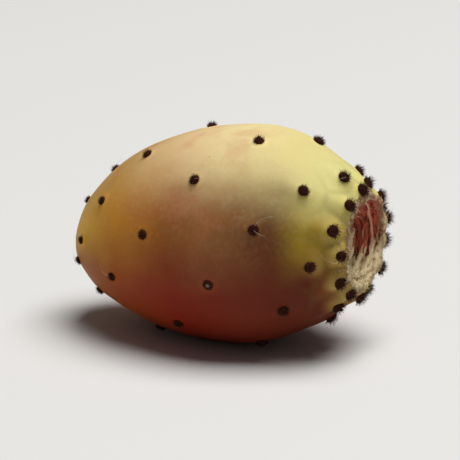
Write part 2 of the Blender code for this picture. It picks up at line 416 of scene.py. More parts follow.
# Its colours, along the fruit from the stem end to the crown, on top, halfway up and underneath. Halfway up
# and underneath they hold painted shade as well as the fruit's own red blush
TOP_TINTS = (
    (0.00, screen_colour(198, 152, 88)),
    (0.25, screen_colour(197, 153, 87)),
    (0.45, screen_colour(229, 197, 146)),
    (0.63, screen_colour(237, 218, 158)),
    (0.80, screen_colour(220, 204, 136)),
    (0.95, screen_colour(218, 212, 138)),
)
SIDE_TINTS_WITH_SHADE = (
    (0.10, screen_colour(236, 182, 64)),
    (0.30, screen_colour(205, 135, 43)),
    (0.50, screen_colour(158, 97, 45)),
    (0.62, screen_colour(156, 105, 61)),
    (0.81, screen_colour(104, 62, 33)),
    (0.90, screen_colour(158, 132, 40)),
    (1.00, screen_colour(150, 122, 44)),
)
UNDER_TINTS_WITH_SHADE = (
    (0.10, screen_colour(164, 96, 34)),
    (0.30, screen_colour(150, 64, 21)),
    (0.50, screen_colour(134, 36, 15)),
    (0.72, screen_colour(118, 43, 25)),
    (0.92, screen_colour(97, 40, 20)),
    (1.00, screen_colour(134, 74, 24)),
)
BLOOM_TINT = screen_colour(226, 205, 172)
BLUSH_TINT = screen_colour(190, 104, 72)
FLECK_TINT = screen_colour(92, 58, 34)
FOLD_SHADE_TINT = screen_colour(112, 104, 44)
NUB_TINT = screen_colour(214, 190, 104)
HALO_GAIN = (1.16, 1.15, 1.08)
BLUSH_SHARE = 0.30
BLOOM_SHARE = 0.09
FOLD_SHADE_SHARE = 0.35
NUB_SHARE = 0.55
FLECK_SHARE = 0.6
FLECK_SPACING = 2.6
PORE_DEPTH = 0.06
STEM_SOFTNESS = 16.0
skin_finish = Finish("skin_finish", Subsurface_Weight=0.06, Subsurface_Scale=0.0015, Specular_IOR_Level=0.1)
crownward = skin_finish.read("crownward") + 0.10 * (skin_finish.cloud(16, 3) - 0.5)
upward = skin_finish.read("upward") + 0.34 * (skin_finish.cloud(11, 4) - 0.5)
top_tint = skin_finish.ramp(crownward, TOP_TINTS)
side_tint_with_shade = skin_finish.ramp(crownward, SIDE_TINTS_WITH_SHADE)
under_tint_with_shade = skin_finish.ramp(crownward, UNDER_TINTS_WITH_SHADE)
# Painted shade: the fruit grows darker from the top down, over its own yellow top and red blush
tint = skin_finish.mix(skin_finish.fade(upward, -0.42, 0.34), under_tint_with_shade, side_tint_with_shade)
top_start = 0.29 + 0.14 * skin_finish.fade(crownward, 0.90, 0.96)
tint = skin_finish.mix(skin_finish.fade(upward, top_start, 0.99), tint, top_tint)

# Rosy clouds in the middle, a dusty bloom, painted shade in the folds, pale rings round the areoles,
# yellow swellings at the crown's rim, and a few flecks
rosy = skin_finish.fade(skin_finish.cloud(9, 4), 0.50, 0.72) * skin_finish.fade(crownward, 0.80, 0.62)
rosy = rosy * skin_finish.fade(upward, -0.25, 0.25)
tint = skin_finish.mix(BLUSH_SHARE * rosy, tint, BLUSH_TINT)
dusty = skin_finish.fade(skin_finish.cloud(1.1, 3, 0.65), 0.42, 0.75)
tint = skin_finish.mix(BLOOM_SHARE * dusty * skin_finish.fade(upward, -0.3, 0.5), tint, BLOOM_TINT)
# Painted shade: the folds between the crown's areoles are darkened as if shade lay in them
tint = skin_finish.mix(FOLD_SHADE_SHARE * skin_finish.read("fold"), tint, FOLD_SHADE_TINT)
areole_distance = skin_finish.read("areole_distance")
halo = skin_finish.fade(areole_distance + 0.8 * (skin_finish.cloud(1.8, 2) - 0.5), 2.9, 1.3)
tint = skin_finish.mix(halo, tint, HALO_GAIN, "MULTIPLY")
at_rim = skin_finish.fade(skin_finish.read("crownward"), 0.90, 0.97)
nubs = skin_finish.fade(areole_distance + 1.6 * (skin_finish.cloud(2.4, 3) - 0.5), 4.6, 1.0)
tint = skin_finish.mix(NUB_SHARE * nubs * at_rim, tint, NUB_TINT)
fleck_places = {"Vector": skin_finish.place, "Scale": 1 / (FLECK_SPACING * MM)}
flecks = skin_finish.fade(skin_finish.node("TexVoronoi", {}, fleck_places, "Distance"), 0.10, 0.04)
flecks = flecks * skin_finish.fade(skin_finish.cloud(7, 2), 0.55, 0.66)
tint = skin_finish.mix(FLECK_SHARE * flecks, tint, FLECK_TINT)
grain = 0.93 + 0.14 * skin_finish.cloud(0.45, 2, 0.6)
tint = skin_finish.mix(1.0, tint, grain, "MULTIPLY")
pores = skin_finish.cloud(0.32, 2, 0.6) + 2.5 * skin_finish.cloud(1.6, 3)
skin_finish.fill(skin_finish.shader, {
    "Base_Color": tint,
    "Roughness": 0.44 + 0.16 * skin_finish.cloud(3.0, 3),
    "Normal": skin_finish.bump(pores, 0.35, PORE_DEPTH),
})

hidden_x = [LENGTH - PIT_DEPTH / 2, LENGTH - PIT_DEPTH - HIDDEN_DEPTH]
hidden_radius = [PIT_RADIUS + 2 * HIDDEN_DEPTH, PIT_RADIUS + HIDDEN_DEPTH]
hidden_lean = [-math.pi / 2, -math.pi / 2]
skin_outline = with_along(
    np.concatenate([SIDE_X, LIP_X[1:], hidden_x]),
    np.concatenate([egg_radius(SIDE_X), LIP_R[1:], hidden_radius]),
    np.concatenate([side_lean(SIDE_X), LIP_LEAN[1:], hidden_lean]),
)
skin_angles = np.linspace(0, math.tau, ROUND_STEPS, endpoint=False)[None, :]
skin_rings = skin_points(skin_outline, skin_angles)
stem_pole = turned(STEM_FACE + STEM_HOLLOW, 0.0, 0.0)
crown_pole = turned(LENGTH - PIT_DEPTH - HIDDEN_DEPTH, 0.0, 0.0)
fruit_skin = make_piece("fruit_skin", [closed_rings(skin_rings, stem_pole, crown_pole)], skin_finish)
wrap_map(fruit_skin, *skin_rings.shape[:2])
skin_x, skin_radius, skin_along = skin_outline[:3]
length_share = np.broadcast_to(skin_x / LENGTH, skin_rings.shape[:2])
stem_softening = np.where(skin_x < BELLY, fade(skin_radius, 0, STEM_SOFTNESS), 1)
folds = fold_shape(skin_along, skin_angles, skin_radius)
nearest_areole = areole_distances(skin_along, skin_angles, skin_radius)[0]
give_values(fruit_skin, "crownward", np.append(length_share, [0, 1]))
give_values(fruit_skin, "upward", np.append(stem_softening * np.cos(skin_angles), [0, 0]))
give_values(fruit_skin, "fold", np.append(folds, [0, 0]))
give_values(fruit_skin, "areole_distance", np.append(nearest_areole, [0, 0]))
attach(fruit_skin, "root")
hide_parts("prickly_pear")

# The areoles. Each is a round cushion of dark felt that grows from its swelling. One on the side has
# lost its bristles: a low ring of felt is left there, round a pale corky spot.
CUSHION_RADIUS = 1.15
CUSHION_HEIGHT = 0.7
CUSHION_ROOT = 0.5
CUSHION_TURNS = 24
CUSHION_RINGS = 9
CUSHION_ROUGHNESS = 0.07
SIZE_AT_STEM = 0.75
SIZE_AT_BELLY = 1.05
SIZE_AT_RIM = 1.2
SIZE_VARIATION = 0.08
RIM_LEAN = 0.35
RIM_LEAN_GROWTH = 10
DOME_END = 0.96
ROOT_SHARE = 0.85
BARE_AREOLE = 27
BARE_HEIGHT = 0.45
BARE_SPOT = (0.74, 0.88)
GROUND_GAP = 0.01
AREOLE_SEED = 11
chance = np.random.default_rng(AREOLE_SEED)


def side_place(x):
    """A place on the egg's side, as a column of each of its measures."""
    x = np.array([[float(x)]])
    return x, egg_radius(x), along_side(x), side_lean(x)


def areole_stand(number):
    """Where an areole is, and the three directions of its own frame: two along the skin, and out."""
    x = AREOLE_X[number]
    angle = AREOLE_ANGLE[number]
    step = 0.4
    turn = step / egg_radius(x)
    middle = skin_points(side_place(x), angle)[0, 0]
    ahead = skin_points(side_place(min(x + step, LENGTH)), angle)[0, 0]
    behind = skin_points(side_place(x - step), angle)[0, 0]
    aside = skin_points(side_place(x), angle + turn) - skin_points(side_place(x), angle - turn)
    forward = ahead - behind
    out = np.cross(aside[0, 0], forward)
    out /= np.linalg.norm(out)
    out[0] += RIM_LEAN * (x / LENGTH) ** RIM_LEAN_GROWTH
    out /= np.linalg.norm(out)
    forward = forward - out * (forward @ out)
    forward /= np.linalg.norm(forward)
    return middle, np.stack([forward, np.cross(out, forward), out])


STANDS = [areole_stand(number) for number in range(AREOLE_COUNT)]
TUFT_SIZES = np.interp(AREOLE_X, (0, BELLY, LENGTH), (SIZE_AT_STEM, SIZE_AT_BELLY, SIZE_AT_RIM))
TUFT_SIZES = TUFT_SIZES * (1 + chance.uniform(-SIZE_VARIATION, SIZE_VARIATION, AREOLE_COUNT))


def on_areole(number, points):
    """Points given in an areole's own frame, set on the fruit and kept above the ground."""
    middle, frame_axes = STANDS[number]
    placed = middle + (points * TUFT_SIZES[number]) @ frame_axes
    placed[..., 2] = np.maximum(placed[..., 2], GROUND_GAP)
    return placed


cushions = []
bare_values = []
turns = np.linspace(0, math.tau, CUSHION_TURNS, endpoint=False)[None, :]
rise = np.linspace(0, 1, CUSHION_RINGS)[:, None]
for number in range(AREOLE_COUNT):
    bare = number == BARE_AREOLE
    tall = CUSHION_HEIGHT * (BARE_HEIGHT if bare else 1)
    rough = 1 + chance.uniform(-CUSHION_ROUGHNESS, CUSHION_ROUGHNESS, (CUSHION_RINGS, CUSHION_TURNS))
    round_radius = CUSHION_RADIUS * np.cos(DOME_END * rise * math.pi / 2) * rough
    dome_height = tall * np.sin(rise * math.pi / 2) * rough
    dome = np.stack([round_radius * np.cos(turns), round_radius * np.sin(turns), dome_height], axis=-1)
    root = dome[:1] * np.array([ROOT_SHARE, ROOT_SHARE, 0.0]) + np.array([0, 0, -CUSHION_ROOT])
    cushion = on_areole(number, np.concatenate([root, dome]))
    poles = on_areole(number, np.array([[0, 0, -CUSHION_ROOT], [0, 0, tall]]))
    cushions.append(closed_rings(cushion, poles[0], poles[1]))
    pale = bare * fade(np.append(-1, rise), *BARE_SPOT)
    bare_values.append(np.append(np.repeat(pale, CUSHION_TURNS), [0, bare]))
FELT_DARK = screen_colour(38, 12, 6)
FELT_BROWN = screen_colour(84, 42, 26)
CORK_SPOT = screen_colour(118, 104, 92)
felt_finish = Finish("felt_finish", Roughness=0.95, Specular_IOR_Level=0.15)
felt = felt_finish.mix(felt_finish.fade(felt_finish.cloud(0.25, 2), 0.35, 0.7), FELT_DARK, FELT_BROWN)
felt = felt_finish.mix(felt_finish.read("bare"), felt, CORK_SPOT)
felt_finish.fill(felt_finish.shader, {"Base_Color": felt})
areole_felt = make_piece("areole_felt", cushions, felt_finish)
give_values(areole_felt, "bare", np.concatenate(bare_values))
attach(areole_felt, "root")

# The bristles. Each areole bears a dense tuft of short barbed hairs, which spread from the felt like
# the bristles of a round brush. At the rim they are longer and lean to the crown.
BRISTLES = 120
BRISTLE_RADIUS = 0.055
BRISTLE_LENGTH = 1.0
LENGTH_AT_RIM = 1.3
RIM_LENGTH_GROWTH = 12
MIDDLE_LENGTH = 1.15
OUTER_LENGTH = 0.65
BRISTLE_SPREAD = 1.2
BRISTLE_BEND = 0.1
GOLDEN_ANGLE = math.radians(137.5)
TURN_STRAY = 0.2
SPLAY_STRAY = 0.18
ROOTS_REACH = 0.9
ROOTS_RISE = 0.6
LENGTH_RANGE = (0.6, 1.15)
THICKNESS_RANGE = (0.7, 1.2)
BRISTLE_SHARES = np.array([0.0, 0.55, 1.0])
BRISTLE_TAPER = np.array([1.0, 0.75, 0.12])


def threads(paths, radii):
    """Closed three-sided threads along paths of points, with a radius at each point."""
    count, length = paths.shape[:2]
    way = paths[:, -1] - paths[:, 0]
    way /= np.linalg.norm(way, axis=1, keepdims=True)
    helper = np.where(np.abs(way[:, 2:]) < 0.9, [[0.0, 0.0, 1.0]], [[1.0, 0.0, 0.0]])
    across = np.cross(way, helper)
    across /= np.linalg.norm(across, axis=1, keepdims=True)
    other = np.cross(way, across)
    turn = math.tau * np.arange(3) / 3
    ring = np.cos(turn)[:, None] * across[:, None] + np.sin(turn)[:, None] * other[:, None]
    points = paths[:, :, None] + radii[:, :, None, None] * ring[:, None]
    start = 3 * np.arange(length - 1)[:, None]
    step = np.arange(3)
    after = (step + 1) % 3
    corners = [start + step, start + after, start + 3 + after, start + 3 + step]
    sides = np.stack(corners, axis=-1).reshape(-1, 4)
    faces = []
    for thread in range(count):
        first = thread * 3 * length
        last = first + 3 * (length - 1)
        faces.extend((sides + first).tolist())
        faces.append([first + 2, first + 1, first])
        faces.append([last, last + 1, last + 2])
    return points.reshape(-1, 3), faces


tufts = []
pale_tip_and_glint_values = []
up = np.array([0.0, 0.0, 1.0])
order = (np.arange(BRISTLES) + 0.5) / BRISTLES
for number in range(AREOLE_COUNT):
    if number == BARE_AREOLE:
        continue
    turn = GOLDEN_ANGLE * np.arange(BRISTLES) + chance.uniform(-TURN_STRAY, TURN_STRAY, BRISTLES)
    outward = np.stack([np.cos(turn), np.sin(turn), np.zeros(BRISTLES)], axis=-1)
    splay = BRISTLE_SPREAD * np.sqrt(order) + chance.uniform(-SPLAY_STRAY, SPLAY_STRAY, BRISTLES)
    way = outward * np.sin(splay)[:, None] + up * np.cos(splay)[:, None]
    root = outward * (ROOTS_REACH * CUSHION_RADIUS * np.sqrt(order))[:, None]
    root = root + up * (ROOTS_RISE * CUSHION_HEIGHT * (1 - order))[:, None]
    growth = 1 + (LENGTH_AT_RIM - 1) * (AREOLE_X[number] / LENGTH) ** RIM_LENGTH_GROWTH
    length = BRISTLE_LENGTH * growth * chance.uniform(*LENGTH_RANGE, BRISTLES)
    length = length * (MIDDLE_LENGTH + (OUTER_LENGTH - MIDDLE_LENGTH) * order)
    bend = BRISTLE_BEND * chance.normal(size=(BRISTLES, 1, 3)) * BRISTLE_SHARES[:, None] ** 2
    paths = root[:, None] + way[:, None] * (length[:, None] * BRISTLE_SHARES)[:, :, None] + bend
    radii = BRISTLE_RADIUS * chance.uniform(*THICKNESS_RANGE, (BRISTLES, 1)) * BRISTLE_TAPER
    points, faces = threads(paths, radii)
    tufts.append((on_areole(number, points), faces))
    # Some bristles pale towards their tips: partly their own paler tips, partly painted grey glints
    pale_tip_and_glint = chance.uniform(0, 1, (BRISTLES, 1, 1)) ** 2 * BRISTLE_SHARES[:, None]
    pale_tip_and_glint_values.append(np.broadcast_to(pale_tip_and_glint, (BRISTLES, 3, 3)).ravel())
BRISTLE_TINTS_AND_GLINTS = (
    (0.0, screen_colour(40, 12, 6)),
    (0.35, screen_colour(68, 28, 16)),
    (0.7, screen_colour(112, 76, 58)),
    (1.0, screen_colour(178, 166, 156)),
)
bristle_finish = Finish("bristle_finish", Roughness=0.6, Specular_IOR_Level=0.2)
bristle_tint = bristle_finish.ramp(bristle_finish.read("tip"), BRISTLE_TINTS_AND_GLINTS)
bristle_finish.fill(bristle_finish.shader, {"Base_Color": bristle_tint})
glochids = make_piece("glochids", tufts, bristle_finish)
give_values(glochids, "tip", np.concatenate(pale_tip_and_glint_values))
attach(glochids, "root")

# The scar in the crown, where the flower fell off: a pit lined with dry, papery tissue. The upper wall
# is dark red with thin torn ridges. A heap of fibrous straw turns the lower side into a bowl, and a
# ragged collar of it reaches out between the tufts.
COLLAR_WIDTH = 1.6
BORDER_AT_TOP = 1.4
BORDER_AT_HEAP = 2.0
BORDER_WANDER = 0.7
COLLAR_TUCK = 0.3
COLLAR_LIFT = 0.16
HEAP_TURN = math.radians(121)
RED_TURNS = np.radians([-76, -42, -8])
RED_START = 4.7
COLLAR_RINGS = 18
WALL_RINGS = 40
INSIDE_RINGS = 132
ROUNDING_RINGS = 6
MIDDLE_RADIUS = 0.1
LEAST_RADIUS = 0.05
BOWL_POWER = 2.2
BOWL_SHARE = 0.85
FLOOR_RING_SPACING = 2.3
FLOOR_RING_HEIGHT = 0.35
OUTER_FLOOR_RING = 6.58
BOSS_HEIGHT = 0.9
BOSS_RADIUS = 1.5
WALL_RIDGES = ((1.7, 0.32), (3.7, 0.45))
FLOOR_RIDGES = ((7.0, 0.4), (5.2, 0.45), (3.2, 0.4))
RIDGE_HEIGHT = 0.34
RIDGE_WANDER = 0.7
RIDGE_FRAY = 0.25
RIDGE_REACH = 6.0
LINING_HEIGHT = 0.15
CRUMB_HEIGHT = 0.035
HEAP_ROUGHNESS = 0.6
BOSS_SMOOTHNESS = 0.7
BAND_AT_TOP = -0.2
BAND_AT_FOOT = 0.9
BAND_OVER_FOOT = 5.0
SCAR_SHELL = 0.55
SCAR_STEPS = 264
UNDERSIDE_SKIP = 6
SEED_SHIFT = 17.3


def collar_and_lip():
    """The scar's outline from its edge on the egg's side, round the lip."""
    side_x = np.linspace(LENGTH - COLLAR_WIDTH, LENGTH, COLLAR_RINGS)[:-1]
    return np.append(side_x, LIP_X), np.append(egg_radius(side_x), LIP_R)


def pit_outline():
    """Down the plain wall and over the floor to the middle, at even spacing."""
    floor_x = LENGTH - PIT_DEPTH
    down = np.linspace(0, 1, WALL_RINGS)
    x = LIP_X[-1] + (floor_x - LIP_X[-1]) * down
    radius = PIT_RADIUS + (LIP_R[-1] - PIT_RADIUS) * (1 - down) ** 2
    x = np.append(x, floor_x)
    radius = np.append(radius, MIDDLE_RADIUS)
    arc = np.concatenate([[0], np.cumsum(np.hypot(np.diff(x), np.diff(radius)))])
    even = np.linspace(0, arc[-1], INSIDE_RINGS + 1)[1:]
    return np.interp(even, arc, x), np.interp(even, arc, radius)


def bowl_outline():
    """The same where dry tissue fills the corner between the wall and the floor."""
    inward = np.linspace(0, 1, INSIDE_RINGS + 1)[1:]
    x = LIP_X[-1] + (LENGTH - PIT_DEPTH - LIP_X[-1]) * (1 - (1 - inward) ** BOWL_POWER)
    return x, LIP_R[-1] + (MIDDLE_RADIUS - LIP_R[-1]) * inward


def softened(inside):
    """The outline of the collar, the lip and this inside, its corners rounded, as columns."""
    weights = np.exp(-np.linspace(-2, 2, 2 * ROUNDING_RINGS + 1) ** 2)
    weights /= weights.sum()
    smooth = []
    for outer_part, inner_part in zip(collar_and_lip(), inside):
        whole = np.append(outer_part, inner_part)
        padded = np.pad(whole, ROUNDING_RINGS, mode="reflect", reflect_type="odd")
        smooth.append(np.convolve(padded, weights, mode="valid")[:, None])
    return smooth


def lumps(points, size, seed):
    """Uneven height at each point, from -1 to 1, with lumps about size across."""
    flat = (points / size + SEED_SHIFT * seed).reshape(-1, 3)
    return np.array([noise.noise(Vector(point)) for point in flat]).reshape(points.shape[:-1])


def streaked(around, along, turning, lengthwise, size, seed):
    """Uneven height drawn out into streaks: the more turning, the shorter they are round the fruit."""
    places = [turning * np.cos(around), turning * np.sin(around), lengthwise * along]
    return lumps(np.stack(np.broadcast_arrays(*places), axis=-1), size, seed)


angles = np.linspace(0, math.tau, SCAR_STEPS, endpoint=False)[None, :]
lowness = -np.cos(angles)
heapness = np.cos(angles - HEAP_TURN)
pit_x, pit_radius = softened(pit_outline())
bowl_x, bowl_radius = softened(bowl_outline())
slow = lumps(turned(pit_x, pit_radius, angles), 7.0, 1)
filled = BOWL_SHARE * fade(heapness + 0.35 * slow, -0.15, 0.8)
scar_x = pit_x + filled * (bowl_x - pit_x)
scar_radius = np.maximum(pit_radius + filled * (bowl_radius - pit_radius), LEAST_RADIUS)
scar_lean = np.arctan2(np.gradient(scar_x, axis=0), -np.gradient(scar_radius, axis=0))
scar_lean = np.unwrap(scar_lean, axis=0)
ring_gaps = np.hypot(np.diff(pit_x[:, 0]), np.diff(pit_radius[:, 0]))
from_edge = np.append(0, np.cumsum(ring_gaps))[:, None]
scar_along = along_side(LENGTH - COLLAR_WIDTH) + from_edge
scar_place = (scar_x, scar_radius, scar_along, scar_lean)
plain = turned(scar_x, scar_radius, angles)
depth = LENGTH - scar_x
inside = fade(from_edge, COLLAR_WIDTH + 0.8, COLLAR_WIDTH + 1.8)
on_floor = fade(depth, PIT_DEPTH - 1.2, PIT_DEPTH - 0.3)
on_floor = on_floor * fade(scar_radius, PIT_RADIUS, PIT_RADIUS - 0.8)
on_wall = inside * (1 - on_floor)
wobble = lumps(plain, 5.0, 2)
fine_wobble = lumps(plain, 1.6, 3)


def torn_ridges(measure, ridges, seed):
    """Thin ridges that run round the pit, wander and break off."""
    height = np.zeros(plain.shape[:2])
    for number, (line, width) in enumerate(ridges):
        wander = RIDGE_WANDER * lumps(plain, RIDGE_REACH, seed + number) + RIDGE_FRAY * fine_wobble
        kept = fade(lumps(plain, RIDGE_REACH, seed + 20 + number), -0.5, 0.0)
        height = np.maximum(height, kept * np.exp(-((measure - line - wander) / width) ** 2))
    return height


crest = on_wall * torn_ridges(depth, WALL_RIDGES, 4)
crest = crest + on_floor * torn_ridges(scar_radius, FLOOR_RIDGES, 12)
ring_place = scar_radius - OUTER_FLOOR_RING + 0.6 * wobble + 0.25 * fine_wobble
floor_rings = ((1 + np.cos(math.tau * ring_place / FLOOR_RING_SPACING)) / 2) ** 1.4
boss = np.exp(-(scar_radius / BOSS_RADIUS) ** 4)
fibres = streaked(angles, from_edge, 13, 0.45, 0.6, 30)
strands = streaked(angles, from_edge, 2.2, 1.0, 0.6, 34)
fine_strands = streaked(angles, from_edge, 5.0, 2.4, 0.6, 35)
crumbs = lumps(plain, 0.45, 31)

# The collar shows from its ragged border inwards, and dips under the skin outside it
border = BORDER_AT_TOP + (BORDER_AT_HEAP - BORDER_AT_TOP) * fade(heapness, -0.6, 0.4)
border = border - BORDER_WANDER * (wobble + streaked(angles, from_edge, 13, 0.45, 1.4, 32))
shown = fade(from_edge, border, border + 0.35)
lining = (1 - inside) * fibres + inside * (0.9 * strands + 0.5 * fine_strands)
dry_relief = LINING_HEIGHT * lining + CRUMB_HEIGHT * crumbs
dry_relief = dry_relief * (1 + HEAP_ROUGHNESS * filled) * (1 - BOSS_SMOOTHNESS * boss)
height = (1 - boss) * FLOOR_RING_HEIGHT * floor_rings * on_floor + BOSS_HEIGHT * boss
height = height + RIDGE_HEIGHT * crest * (1 - boss)
height = height + (COLLAR_TUCK + COLLAR_LIFT + dry_relief) * shown - COLLAR_TUCK
top = skin_points(scar_place, angles, height)
under = skin_points(scar_place, angles, -SCAR_SHELL)[::-UNDERSIDE_SKIP]
# The body runs from the middle of its underside out to the edge, and back over its top
scar_body = np.concatenate([under, top])
middle = turned(LENGTH - PIT_DEPTH + BOSS_HEIGHT, 0.0, 0.0)
under_middle = turned(LENGTH - PIT_DEPTH - SCAR_SHELL, 0.0, 0.0)

# The red lies on the far and upper wall, inside a brown band, and ends in strands
towards_red = scar_radius * np.max([np.cos(angles - turn) for turn in RED_TURNS], axis=0)
red_start = RED_START + 0.8 * wobble + 2.4 * strands + 1.2 * fine_strands
band = BAND_AT_TOP + (BAND_AT_FOOT - BAND_AT_TOP) * fade(lowness, -0.8, 0.5) + 0.3 * fine_wobble
band = band + BAND_OVER_FOOT * fade(lowness, 0.2, 1.0)
band = band + fade(lowness, -0.3, 0.3) * (3.0 * strands + 2.0 * fine_strands)
redness = fade(from_edge, COLLAR_WIDTH + 0.5, COLLAR_WIDTH + 1.3)
redness = redness * fade(towards_red, red_start - 0.8, red_start + 0.8)
redness = redness * fade(depth, band - 0.4, band + 0.6)
brown_lip = fade(from_edge, COLLAR_WIDTH + 2.2, COLLAR_WIDTH + 0.8)
brown_lip = brown_lip * (0.3 + 0.7 * fade(heapness, 0.2, -0.5))
brown_band = fade(depth, band + 0.5, band - 0.1) * fade(lowness, 0.45, 0.05)

STRAW = screen_colour(216, 198, 156)
STRAW_SHADE = screen_colour(140, 116, 78)
WALL_RED = screen_colour(186, 94, 72)
WALL_DARK_AND_SHADE = screen_colour(104, 38, 29)
WALL_PINK_AND_HIGHLIGHT = screen_colour(226, 176, 146)
EDGE_BROWN = screen_colour(124, 80, 56)
MIDDLE_BROWN = screen_colour(116, 88, 68)
SCAR_GRAIN_DEPTH = 0.12
scar_finish = Finish("scar_finish", Roughness=0.85, Specular_IOR_Level=0.2)
lined = scar_finish.read("lining")
# The straw is darker where the lining's relief is low: random patches of its own tone, and painted shade in
# the hollows between its fibres
patches = scar_finish.cloud(1.3, 4, 0.6) + 0.25 * scar_finish.read("crest") + 0.35 * lined
straw = scar_finish.mix(scar_finish.fade(patches, 0.26, 0.66), STRAW_SHADE, STRAW)
straw = scar_finish.mix(0.75 * scar_finish.read("middle"), straw, MIDDLE_BROWN)
# The red wall is darker where the lining sinks: its own dark crimson, and painted shade in the hollows
wall_shade = scar_finish.fade(scar_finish.cloud(2.2, 3) + 0.5 * lined, 0.30, 0.70)
red = scar_finish.mix(wall_shade, WALL_DARK_AND_SHADE, WALL_RED)
# The ridges are pinker: their own paler torn tissue, and a painted highlight along them
pink_and_highlight = scar_finish.fade(scar_finish.read("crest") + 0.4 * lined, 0.35, 0.85)
red = scar_finish.mix(0.8 * pink_and_highlight, red, WALL_PINK_AND_HIGHLIGHT)
red_edge = scar_finish.read("redness") + 0.3 * (scar_finish.cloud(0.9, 4, 0.6) - 0.5)
scar_tint = scar_finish.mix(scar_finish.fade(red_edge, 0.30, 0.62), straw, red)
browned = scar_finish.read("edge") * scar_finish.fade(scar_finish.cloud(1.8, 3), 0.30, 0.55)
scar_tint = scar_finish.mix(0.9 * browned, scar_tint, EDGE_BROWN)
scar_finish.fill(scar_finish.shader, {
    "Base_Color": scar_tint,
    "Normal": scar_finish.bump(scar_finish.cloud(0.5, 4, 0.65), 0.6, SCAR_GRAIN_DEPTH),
})
crown_scar = make_piece("crown_scar", [closed_rings(scar_body, under_middle, middle)], scar_finish)
wrap_map(crown_scar, *scar_body.shape[:2])


def give_ring_values(piece, rings, first, named):
    """Stores values for some rings of a closed body, from its ring number first on, and 0 elsewhere."""
    for name, values in named.items():
        whole = np.zeros(rings.shape[:2])
        whole[first:first + len(values)] = values
        give_values(piece, name, np.append(whole, [0, 0]))


give_ring_values(crown_scar, scar_body, len(under), {
    "crest": crest,
    "lining": lining + 0.8 * on_floor * (floor_rings - 0.4),
    "middle": on_floor * fade(scar_radius, 5.0, 1.5),
    "redness": redness,
    "edge": np.maximum(brown_lip, brown_band),
})
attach(crown_scar, "root")

# Dry threads in the crown. Shreds of the withered flower cling to the collar and, longer, to the
# scar's lower side: short fibres of straw that curled as they dried.
SHREDS = 2600
SHRED_POINTS = 5
COLLAR_LENGTHS = (0.3, 1.1)
BOWL_LENGTHS = (0.6, 2.4)
SHRED_RADII = (0.025, 0.065)
SHRED_TAPER = 0.7
SHRED_CURL = 0.35
SHRED_ROOT = 0.05
SHRED_SEED = 23
chance = np.random.default_rng(SHRED_SEED)
on_collar = shown * fade(from_edge, COLLAR_WIDTH + 2.0, COLLAR_WIDTH + 0.8)
in_bowl = filled * fade(depth, 0.1, 0.8) * fade(scar_radius, 2.0, 5.0)
by_heap = redness * fade(towards_red, RED_START + 2.0, RED_START)
density = on_collar * (0.7 - 0.5 * fade(lowness, 0.1, -0.7)) + 0.9 * in_bowl
density = (density + 0.15 * by_heap + 0.03 * shown) * scar_radius
odds = (density / density.sum()).ravel()
picked = chance.choice(density.size, SHREDS, replace=False, p=odds)
rooted = np.unravel_index(picked, density.shape)
down_slope = np.gradient(top, axis=0)[rooted]
round_rim = (np.roll(top, -1, axis=1) - np.roll(top, 1, axis=1))[rooted]
out = np.cross(round_rim, down_slope)
out /= np.linalg.norm(out, axis=1, keepdims=True)
outward = -down_slope / np.linalg.norm(down_slope, axis=1, keepdims=True)
round_rim /= np.linalg.norm(round_rim, axis=1, keepdims=True)
deep = np.maximum(in_bowl, by_heap)[rooted][:, None]
along_streaks = chance.choice((-1.0, 1.0), (SHREDS, 1)) * round_rim
ways = (0.7 - 0.4 * deep) * out + 0.5 * (1 - deep) * outward + 0.9 * deep * along_streaks
ways = ways + (0.55 - 0.2 * deep) * chance.normal(size=(SHREDS, 3))
ways /= np.linalg.norm(ways, axis=1, keepdims=True)
shred_share = np.linspace(0, 1, SHRED_POINTS)
collar_lengths = chance.uniform(*COLLAR_LENGTHS, (SHREDS, 1))
bowl_lengths = chance.uniform(*BOWL_LENGTHS, (SHREDS, 1))
length = (1 - deep) * collar_lengths + deep * bowl_lengths
curl = SHRED_CURL * chance.normal(size=(SHREDS, 1, 3))
bent = ways[:, None] * shred_share[:, None] + curl * shred_share[:, None] ** 2
paths = top[rooted][:, None] - SHRED_ROOT * out[:, None] + length[:, :, None] * bent
radii = chance.uniform(*SHRED_RADII, (SHREDS, 1)) * (1 - SHRED_TAPER * shred_share ** 2)
SHRED_TINTS = (
    (0.0, screen_colour(116, 90, 58)),
    (0.4, screen_colour(184, 162, 120)),
    (1.0, screen_colour(238, 226, 192)),
)
shred_finish = Finish("shred_finish", Roughness=0.9, Specular_IOR_Level=0.2)
shred_tint = shred_finish.ramp(shred_finish.read("shade"), SHRED_TINTS)
shred_finish.fill(shred_finish.shader, {"Base_Color": shred_tint})
flower_shreds = make_piece("flower_shreds", [threads(paths, radii)], shred_finish)
give_values(flower_shreds, "shade", np.repeat(chance.uniform(0, 1, SHREDS), 3 * SHRED_POINTS))
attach(flower_shreds, "root")

